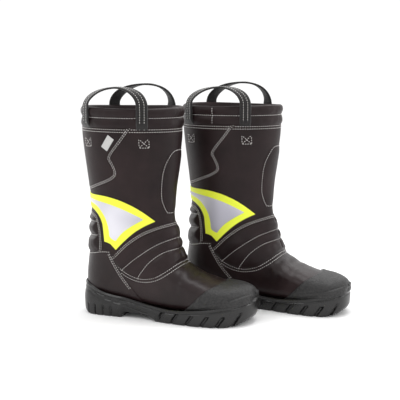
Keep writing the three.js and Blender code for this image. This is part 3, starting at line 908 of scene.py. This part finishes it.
# The trim lies on the leg and follows the same waves.
def addTrim(boot):
    tops = {}
    for name in ("band", "silver"):
        fall = edgeDrop(rimDistance(panels[name]), trim["edge"])
        tops[name] = trim[name] - fall + wobble(panelPoints(panels[name]), 60, 8) * 0.9
    addUpper("reflective_band", "band", boot, "lime", tops["band"], -0.4)
    addUpper("silver_strip", "silver", boot, "silver", tops["silver"], 0.6)


# A ridge runs round the bumper a little above the sole, with a groove over it; both fade out to the rear.
bumper = {"top": 3.1, "edge": 1.3, "bottom": 0.2, "ridge": 1.5, "ridgeAbove": 6.5, "ridgeWidth": 1.5,
          "groove": 1.3, "grooveAbove": 3.2, "grooveWidth": 1.1, "fadeFrom": 140, "fade": 12}


def addBumper(boot):
    panel = panels["bumper"]
    p = panelPoints(panel)
    rim = rimDistance(panel)
    above = p[:, 2] - soleTopAt(p[:, 0]) - bumper["ridgeAbove"]
    fade = np.clip((p[:, 0] - bumper["fadeFrom"]) / bumper["fade"], 0, 1)
    ridge = bumper["ridge"] * np.exp(-((above / bumper["ridgeWidth"]) ** 2)) * fade
    away = (above - bumper["grooveAbove"]) / bumper["grooveWidth"]
    groove = bumper["groove"] * np.exp(-(away**2)) * fade
    height = bumper["top"] - edgeDrop(rim, bumper["edge"]) + ridge - groove
    points, faces = thickSheet(panel, height, bumper["bottom"])
    piece = addPiece("toe_bumper", boot, points, faces, finishes["bumper"], 60)
    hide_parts(f"{boot['foot']}_toe_bumper")
    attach(piece, f"{boot['foot']}_foot")


collar = {
    # offset from the leather's surface, and height below the collar's top
    "profile": [(-3.5, 35.5), (-1.0, 34.2), (1.2, 31.5), (2.3, 27), (2.2, 23), (0.9, 19), (-0.2, 16.6),
                (0.9, 14), (2.3, 10), (2.5, 6), (1.4, 2.4), (-1.2, 0.2), (-4.0, 0.0), (-6.8, 1.6),
                (-8.4, 6), (-8.8, 12), (-7.9, 16.5), (-9.0, 22), (-8.6, 30), (-7, 35)],
    "around": 220, "seam": 16.6, "rimWave": 1.1, "pucker": 0.5,
}


def addCollar(boot):
    profile = closedCurve(np.array(collar["profile"], float), (0, 0.34, 0.67))
    around = collar["around"]
    angle = np.linspace(0, 2 * math.pi, around, endpoint=False)
    rows = []
    for offset, drop in profile:
        z = bootHeight - drop
        path, normal = ringLine(min(z, bootHeight - 0.5), 0, around + 1)
        path, normal = path[:-1], normal[:-1]
        spots = [Vector((math.cos(t) * 9, math.sin(t) * 9, drop * 0.12)) for t in angle]
        puckers = np.array([noise.noise(spot) for spot in spots])
        loose = math.exp(-((drop - 10) / 7) ** 2) + math.exp(-((drop - 26) / 6) ** 2)
        push = offset + puckers * collar["pucker"] * (0.4 + 1.2 * loose) * (1 if offset > -3 else 0.5)
        wave = collar["rimWave"] * np.sin(angle * 2 + 0.8) * np.clip(1 - drop / 16, 0, 1)
        row = path + normal * push[:, None]
        row[:, 2] = z + wave
        rows.append(row)
    faces = ringFaces(len(rows), around, closed=True)
    piece = addPiece("collar", boot, np.vstack(rows), faces, finishes["collar"], 70)
    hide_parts(f"{boot['foot']}_collar")
    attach(piece, f"{boot['foot']}_shaft")
    groups = [stitchesAlong(*ringLine(bootHeight - collar["seam"], 0.15))]
    # one upright seam on the inner side closes the collar's ring
    drops = np.linspace(3, 31, 30)
    outside = np.array(collar["profile"])[10:1:-1]
    offsets = np.interp(drops, outside[:, 1], outside[:, 0])
    upright, out = [], []
    for drop, offset in zip(drops, offsets):
        path, normal = ringLine(bootHeight - drop, offset + 0.3)
        k = int(round(len(path) * 0.27))
        upright.append(path[k])
        out.append(normal[k])
    groups.append(stitchesAlong(np.array(upright), np.array(out)))
    sewing = addStitches("collar_stitching", boot, groups)
    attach(sewing, f"{boot['foot']}_shaft")


strap = {
    "front": 46, "rear": -57, "width": 19.5, "thickness": 3.4, "lean": 7, "legOffset": 3.4, "steps": 44,
    "rise": {"right_outer": 32, "right_inner": 35, "left_outer": 36, "left_inner": 30.5},
    # height over the leather's top, and offset from the leg, from a leg's foot up to the loop
    "leg": [(-2.5, -2.7), (1.5, -0.7), (4, 1.4), (8, 3.5), (14, 4.0), (20, 3.4), (27, 4.2)],
    # half the cross-section's width and thickness: rounded edges, and two shallow valleys where the
    # rows of stitching pull the strap in
    "across": [(-1, 0.0), (-0.96, 0.55), (-0.86, 0.9), (-0.6, 1.0), (-0.38, 0.78), (-0.15, 1.02),
               (0.15, 1.02), (0.38, 0.78), (0.6, 1.0), (0.86, 0.9), (0.96, 0.55), (1, 0.0), (0.96, -0.55),
               (0.86, -0.9), (0.4, -0.95), (0, -1.0), (-0.4, -0.95), (-0.86, -0.9), (-0.96, -0.55)],
}


# Where a leg of the loop stands against the collar, and the way straight out from it.
def legPlace(x, side):
    path, normal = ringLine(bootHeight - 10, 0, 721)
    half = path[:, 1] * side > 0
    k = np.flatnonzero(half)[np.argmin(np.abs(path[half][:, 0] - x))]
    place = path[k].copy()
    place[2] = 0
    return place, normal[k]


# The middle of the loop's webbing, with its own directions along, across and out.
def strapPath(loop, side):
    front, outFront = legPlace(strap["front"], side)
    rear, outRear = legPlace(strap["rear"], side)
    chord = rear - front
    places, outs = [], []

    def leg(foot, out, going):
        for above, offset in going:
            places.append(foot + out * offset + np.array([0, 0, shellTop + above]))
            outs.append(out)

    leg(front, outFront, strap["leg"])
    count = strap["steps"]
    for i in range(count + 1):
        turn = math.pi * i / count
        share = (1 - math.cos(turn)) / 2
        base = front + outFront * strap["legOffset"] * (1 - share) + outRear * strap["legOffset"] * share
        rise = strap["rise"][loop] * math.sin(turn)
        lean = strap["lean"] * math.sin(turn) ** 2
        places.append(base + chord * share + np.array([lean, 0, bootHeight + 1 + rise]))
        out = (outFront * (1 - share) + outRear * share) * math.cos(turn) ** 2
        sideways = chord / np.linalg.norm(chord) * math.cos(turn) * math.sin(turn)
        outs.append(unit(out + np.array([0, 0, math.sin(turn)]) - sideways))
    leg(rear, outRear, strap["leg"][::-1])
    places, outs = np.array(places), np.array(outs)
    tangents = unit(np.gradient(places, axis=0))
    wide = unit(np.cross(tangents, outs))
    up = unit(np.cross(wide, tangents))
    return places, wide, up


def addStrap(boot, which):
    side = -1 if which == "outer" else 1
    places, wide, up = strapPath(f"{boot['foot']}_{which}", side)
    half, thick = strap["width"] / 2, strap["thickness"] / 2
    rows = [places + wide * (a * half) + up * (b * thick) for a, b in strap["across"]]
    total = len(rows)
    points = np.stack(rows, 1).reshape(-1, 3)
    faces = ringFaces(len(places), total) + endCaps(len(places), total)
    piece = addPiece(f"{which}_pull_strap", boot, points, faces, finishes["strap"], 60)
    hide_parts(f"{boot['foot']}_{which}_pull_strap")
    body = f"{boot['foot']}_{which}_strap"
    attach(piece, body)
    groups = []
    for a in (-0.38, 0.38):
        path = places + wide * (a * half) + up * (thick * 0.8)
        groups.append(stitchesAlong(path[3:-3], up[3:-3]))
    sewing = addStitches(f"{which}_strap_stitching", boot, groups)
    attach(sewing, body)


label = {"centre": (-13, 302), "length": 24, "width": 13, "turn": 55, "lift": 1.9, "thickness": 1.3,
         "edge": 0.35, "stitch": 0.3, "columns": 26, "rows": 16}


# A blank woven patch on the outer side.
def addLabel(boot):
    turn = math.radians(label["turn"])
    along = np.array([math.cos(turn), math.sin(turn)])
    cross = np.array([-along[1], along[0]])
    cols, rows = label["columns"], label["rows"]
    grid = np.array([(a, b) for b in np.linspace(-1, 1, rows) for a in np.linspace(-1, 1, cols)])
    centre = np.array([float(label["centre"][0]), float(stretchZ(label["centre"][1]))])
    side = grid[:, :1] * along * label["length"] / 2 + grid[:, 1:] * cross * label["width"] / 2 + centre
    s, angle = fromSide(side).T
    edge = np.minimum(1 - np.abs(grid[:, 0]), 1 - np.abs(grid[:, 1]))
    sunk = label["stitch"] * np.exp(-(((edge - 0.16) / 0.05) ** 2))
    outer = layerPoint(s, -angle, label["lift"] + label["edge"] * np.clip(edge * 8, 0, 1) - sunk)
    inner = layerPoint(s, -angle, label["lift"] - label["thickness"])
    count = len(s)
    corners = [r * cols + k for r in range(rows - 1) for k in range(cols - 1)]
    faces = [(a, a + 1, a + cols + 1, a + cols) for a in corners]
    rim = [*range(cols), *(r * cols + cols - 1 for r in range(1, rows)),
           *((rows - 1) * cols + k for k in range(cols - 2, -1, -1)),
           *(r * cols for r in range(rows - 2, 0, -1))]
    back = [tuple(i + count for i in f[::-1]) for f in faces]
    walls = [(b, a, a + count, b + count) for a, b in zip(rim, rim[1:] + rim[:1])]
    every = faces + back + walls
    points = np.vstack([outer, inner])
    a, b, c = (points[every[30][k]] for k in range(3))
    if np.cross(b - a, c - a)[1] > 0:
        every = [f[::-1] for f in every]
    piece = addPiece("label", boot, points, every, finishes["label"], 50)
    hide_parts(f"{boot['foot']}_label")
    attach(piece, f"{boot['foot']}_shaft")


lining = {"outer": -5.6, "inner": -8.8, "quilt": 1.1, "from": 1.6, "top": 1.03, "rows": 150, "around": 150,
          "tuck": 2.0, "tuckFrom": 62, "tuckTo": 36}


def addLining(boot):
    s = np.linspace(lining["from"], lastRow - lining["top"], lining["rows"])
    angle = np.linspace(0, 2 * math.pi, lining["around"], endpoint=False)
    gridS, gridA = np.meshgrid(s, angle, indexing="ij")
    flatS, flatA = gridS.ravel(), gridA.ravel()
    z = lastPoint(flatS, flatA)[:, 2]
    diamond = np.abs(np.sin((z + flatA * 60) / 12)) * np.abs(np.sin((z - flatA * 60) / 12))
    # towards its top the lining thins out and tucks in behind the collar
    tuck = softStep(z, bootHeight - lining["tuckFrom"], bootHeight - lining["tuckTo"])
    depth = (0.6 - lining["quilt"] * np.sqrt(diamond)) * (1 - tuck) + lining["tuck"] * tuck
    inner = layerPoint(flatS, flatA, lining["inner"] + depth)
    outer = layerPoint(flatS, flatA, lining["outer"])
    # one run of rings: up the outer side, over the top edge and down the inner side
    rows, around = lining["rows"], lining["around"]
    points = np.vstack([outer, inner.reshape(rows, around, 3)[::-1].reshape(-1, 3)])
    faces = ringFaces(rows * 2, around) + endCaps(rows * 2, around)
    piece = addPiece("lining", boot, points, faces, finishes["lining"], 70)
    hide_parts(f"{boot['foot']}_lining")
    bendAtAnkle(piece, boot)


sole = {
    "footprint": [(-89, 0), (-84, -21), (-71, -34), (-50, -39.5), (-20, -40.5), (10, -41.5), (50, -46),
                  (85, -52), (118, -55.5), (145, -56), (170, -52.5), (190, -44), (207, -30), (218, -13),
                  (223, 9), (219, 30), (208, 45), (190, 54), (170, 57.5), (145, 56), (118, 51),
                  (85, 42.5), (50, 36), (10, 34.5), (-20, 38), (-50, 39.5), (-71, 34), (-84, 21)],
    "bottom": [(-90, 15), (-86, 8), (-80, 3), (-70, 0), (-6, 0), (-3, 8), (2, 10), (28, 10), (46, 7), (60, 0),
               (185, 0), (198, 2.2), (210, 6.5), (219, 12), (226, 17)],
    "around": 720, "rows": 26,
    "lugPitch": 27, "lugWidth": 6, "lugLean": 0.75, "lugDepth": 4.4, "treadDepth": 5, "lugHigh": (16.5, 19),
    "heelPitch": 15, "heelDepth": 2.2, "heelHigh": (17, 20),
    # grooves round the wall: how far under its top edge, how wide and how deep
    "seam": (6.2, 1.1, 1.3), "second": (13.5, 1.3, 1.4),
    "dimple": {"x": -8, "z": 27, "long": 7, "high": 2.6, "depth": 3.0},
    "rounding": 1.3, "channelWidth": 3.5,
}


# The sole's outline, evenly divided, and the way straight out from it.
def solePerimeter():
    points = np.array(sole["footprint"], float)
    points[:, 0] = stretchX(points[:, 0])
    path = closedCurve(points, np.linspace(0, 1, 40, endpoint=False))
    path = np.vstack([path, path[:1]])
    length = lengthAlong(path)
    ring = pointsAt(path, length, np.linspace(0, length[-1], sole["around"], endpoint=False))
    run = np.roll(ring, -1, axis=0) - np.roll(ring, 1, axis=0)
    return ring, unit(np.stack([run[:, 1], -run[:, 0]], 1))


def bottomAt(x):
    line = np.array(sole["bottom"], float)
    return np.interp(x, stretchX(line[:, 0]), line[:, 1])


# 1 inside a slanted groove between two lugs of the forefoot, 0 on a lug.
def lugGroove(x, z, y):
    slope = x - (z - bottomAt(x)) * sole["lugLean"] - np.abs(y) * 0.12
    phase = (slope - 84) / sole["lugPitch"]
    away = np.abs(phase - np.round(phase)) * sole["lugPitch"]
    inZone = softStep(x, 66, 72) * (1 - softStep(x, 205, 214))
    return (1 - softStep(away, sole["lugWidth"] / 2 - 0.8, sole["lugWidth"] / 2 + 0.6)) * inZone


# The same for the narrow upright grooves of the heel.
def heelGroove(x):
    phase = (x + 70) / sole["heelPitch"]
    away = np.abs(phase - np.round(phase)) * sole["heelPitch"]
    return (1 - softStep(away, 1.0, 2.3)) * (1 - softStep(x, -16, -10))


def wallGroove(under, groove):
    below, width, depth = groove
    return np.exp(-(((under - below) / width) ** 2)) * depth


def addOutsole(boot):
    ring, out = solePerimeter()
    x, y = ring.T
    low, high = bottomAt(x), soleTopAt(x)
    rows = []
    count = sole["around"]
    dent = sole["dimple"]
    middle = np.linspace(0.16, 0.9, sole["rows"] - 8)
    waist = softStep(x, -12, 2) * (1 - softStep(x, 50, 66))
    for v in np.concatenate([np.linspace(0, 0.12, 4), middle, [0.94, 0.97, 0.99, 1.0]]):
        z = low + (high - low) * v
        inset = 1.6 * (1 - v) ** 3 + 3.2 * softStep(v, 0.35, 1.0) * softStep(-x, -30, 40)
        # the tread's rounded edge, then the lip under the upper
        inset = inset + sole["rounding"] * max(0.0, 1 - v / 0.08)
        inset = inset - 1.0 * math.exp(-(((v - 0.93) / 0.035) ** 2)) + 0.9 * max(0, (v - 0.96) / 0.04)
        inset = inset + waist * 2.5 * (1 - v)
        under = high - z
        forefoot = lugGroove(x, z, y) * (1 - softStep(z - low, *sole["lugHigh"]))
        heel = heelGroove(x) * (1 - softStep(z - low, *sole["heelHigh"]))
        seam = wallGroove(under, sole["seam"])
        second = wallGroove(under - 3 * np.sin(x / 24), sole["second"]) * (1 - softStep(x, 40, 70))
        away = ((x - dent["x"]) / dent["long"]) ** 2 + ((z - dent["z"]) / dent["high"]) ** 2
        dimple = dent["depth"] * np.exp(-away)
        inset = inset + forefoot * sole["lugDepth"] + heel * sole["heelDepth"] + seam + second + dimple
        rows.append(np.stack([x - out[:, 0] * inset, y - out[:, 1] * inset, z], 1))
    inner = rows[-1].copy()
    inner[:, :2] -= out * 3.0
    inner[:, 2] -= 0.6
    rows.append(inner)
    hidden = inner.copy()
    hidden[:, :2] -= out * 7
    hidden[:, 2] -= 5
    rows.append(hidden)
    points = np.vstack(rows)
    faces = ringFaces(len(rows), count)
    # the tread and the hidden top are meshed inside their rings
    for start, isTread in ((0, True), ((len(rows) - 1) * count, False)):
        edge = points[start:start + count, :2]
        step = 2.6 if isTread else 9
        gx, gy = np.meshgrid(np.arange(edge[:, 0].min(), edge[:, 0].max(), step),
                             np.arange(edge[:, 1].min(), edge[:, 1].max(), step))
        grid = np.stack([gx.ravel(), gy.ravel()], 1)
        grid = grid[insideOf(edge, grid)]
        grid = grid[distanceTo(onFlat(grid), onFlat(edge)) > step * 0.5]
        flat, found, _ = triangles(edge, grid, 1e-5)
        # the ring's own points come first and keep their numbers
        numbers = np.concatenate([start + np.arange(count), len(points) + np.arange(len(flat) - count)])
        gx, gy = flat[count:].T
        if isTread:
            near = distanceTo(onFlat(flat[count:]), onFlat(edge))
            low = bottomAt(gx)
            channel = (1 - softStep(np.abs(gy - 4), sole["channelWidth"], 5)) * softStep(gx, 66, 74)
            channel = channel * (1 - softStep(gx, 190, 200))
            cut = np.maximum(np.maximum(lugGroove(gx, low, gy), heelGroove(gx)), channel)
            gz = low + cut * sole["treadDepth"] * softStep(near, 0, 3)
        else:
            gz = np.minimum(soleTopAt(gx) - 7, 22 + np.clip(-gx, 0, 60) * 0.2)
        points = np.vstack([points, np.stack([gx, gy, gz], 1)])
        faces += [tuple(f) for f in numbers[found[:, ::-1] if isTread else found]]
    piece = addPiece("outsole", boot, points, faces, finishes["sole"], 42)
    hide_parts(f"{boot['foot']}_outsole")
    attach(piece, f"{boot['foot']}_foot")


# The box with a cross that holds a strap's end.
def boxCross(x, z, size):
    h = size / 2
    corner = {"a": (x - h, z - h), "b": (x + h, z - h), "c": (x + h, z + h), "d": (x - h, z + h)}
    return [np.linspace(corner[a], corner[b], 12) for a, b in ("da", "ab", "bc", "ac", "bd")]


def addUpperStitching(boot):
    groups = []
    lapped = np.vstack([lines["backS"][3:-1], lines["backHook"]])
    for shift in (-2.6, -5.4):
        groups += sewLine(shifted(lapped, shift), "back")
    for drop in (2.4, 6.6):
        path, normal = ringLine(shellTop - drop, 0)
        level = np.maximum(heightOn("shaft", path), np.where(path[:, 0] < 22, heightOn("back", path), -1))
        groups.append(stitchesAlong(path + normal * (level + thread["proud"])[:, None], normal))
    for shift in (-2.0, -4.8):
        groups += sewLine(shifted(lines["instepTop"], shift), "instepFlex")
    groups += sewLine(lines["quilt1"], "instepFlex")
    groups += sewLine(lines["quilt2"], "instepFlex")
    groups += sewLine(shifted(lines["instepBottom"], -2.0), "instepFlex")
    groups += sewLine(shifted(lines["instepBottom"], 3.0), "vamp")
    for shift in (-2.0, -4.8):
        groups += sewLine(shifted(lines["counterFront"][6:-10], shift), "heelCounter")
    groups += sewLine(shifted(lines["counterTop"], -2.6), "heelCounter")
    for shift in (2.2, 5.0):
        groups += sewLine(shifted(lines["rearFront"], shift), "rearFlex")
    for dent in leatherLook["rearFlex"]["dents"]:
        groups += sewLine(np.array([(-45, dent + 1.8), (-84, dent - 2.9)]), "rearFlex")
    groups += sewLine(shifted(lines["shinOval"], 3.0), "shinPad")
    for x, panelName in ((48, "shaft"), (-56, "back")):
        for stroke in boxCross(x, float(stretchZ(302)), 15):
            groups += sewLine(stroke, panelName)
    bendAtAnkle(addStitches("upper_stitching", boot, groups), boot)


innerFinish = {
    "shank": "steel", "insole_board": "board", "puncture_plate": "steel", "footbed": "footbed",
    "toe_cap": "steel", "heel_stiffener": "board",
    "outer_strap_front_tail": "strap", "outer_strap_rear_tail": "strap",
    "inner_strap_front_tail": "strap", "inner_strap_rear_tail": "strap",
}


# The pieces inside the boot stay as packed and only get their materials.
def finishInner(boot):
    for node, finish in innerFinish.items():
        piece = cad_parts[f"{boot['foot']}_{node}"]
        for material in piece.material_slots:
            material.material = finishes[finish]
        if not piece.material_slots:
            piece.data.materials.append(finishes[finish])


for boot in boots:
    addUppers(boot)
    addTrim(boot)
    addBumper(boot)
    addCollar(boot)
    for which in ("outer", "inner"):
        addStrap(boot, which)
    addLabel(boot)
    addLining(boot)
    addOutsole(boot)
    addUpperStitching(boot)
    finishInner(boot)
    print(boot["foot"], "boot made")


studio = {"world": 1.06, "floor": rgb(0.95, 0.95, 0.95), "lights": [
    # place in metres, size in metres, power in watts
    ((-0.9, -1.0, 1.5), 0.8, 5), ((1.5, -0.8, 1.2), 0.6, 3), ((0.15, 0.2, 1.6), 0.8, 8),
    ((0.3, 1.2, 1.3), 0.8, 4), ((-1.3, 0.35, 0.5), 0.7, 4), ((1.5, 0.5, 0.6), 0.7, 4),
]}


def addStudio():
    floor = Finish("studioFloor", {"Specular IOR Level": 0.1})
    shade = floor.noise(3, 2)
    colour = floor.mix(shade, studio["floor"], rgb(0.97, 0.97, 0.97))
    material = floor.finished(colour, 0.8)
    size = 6.0
    corners = [(-size, -size, 0), (size, -size, 0), (size, size, 0), (-size, size, 0)]
    mesh = bpy.data.meshes.new("floor")
    mesh.from_pydata(corners, [], [(0, 1, 2, 3)])
    mesh.materials.append(material)
    plane = bpy.data.objects.new("floor", mesh)
    bpy.context.scene.collection.objects.link(plane)
    world = bpy.data.worlds.new("studio")
    world.use_nodes = True
    world.node_tree.nodes["Background"].inputs["Color"].default_value = rgb(1, 1, 1)
    world.node_tree.nodes["Background"].inputs["Strength"].default_value = studio["world"]
    bpy.context.scene.world = world
    for i, (place, width, power) in enumerate(studio["lights"]):
        light = bpy.data.lights.new(f"softbox{i}", "AREA")
        light.shape = "DISK"
        light.size = width
        light.energy = power
        holder = bpy.data.objects.new(f"softbox{i}", light)
        holder.location = place
        aim = Vector((0, 0, 0.16)) - Vector(place)
        holder.rotation_euler = aim.to_track_quat("-Z", "Y").to_euler()
        bpy.context.scene.collection.objects.link(holder)
    bpy.context.scene.view_settings.view_transform = "Standard"


addStudio()
print("studio set")
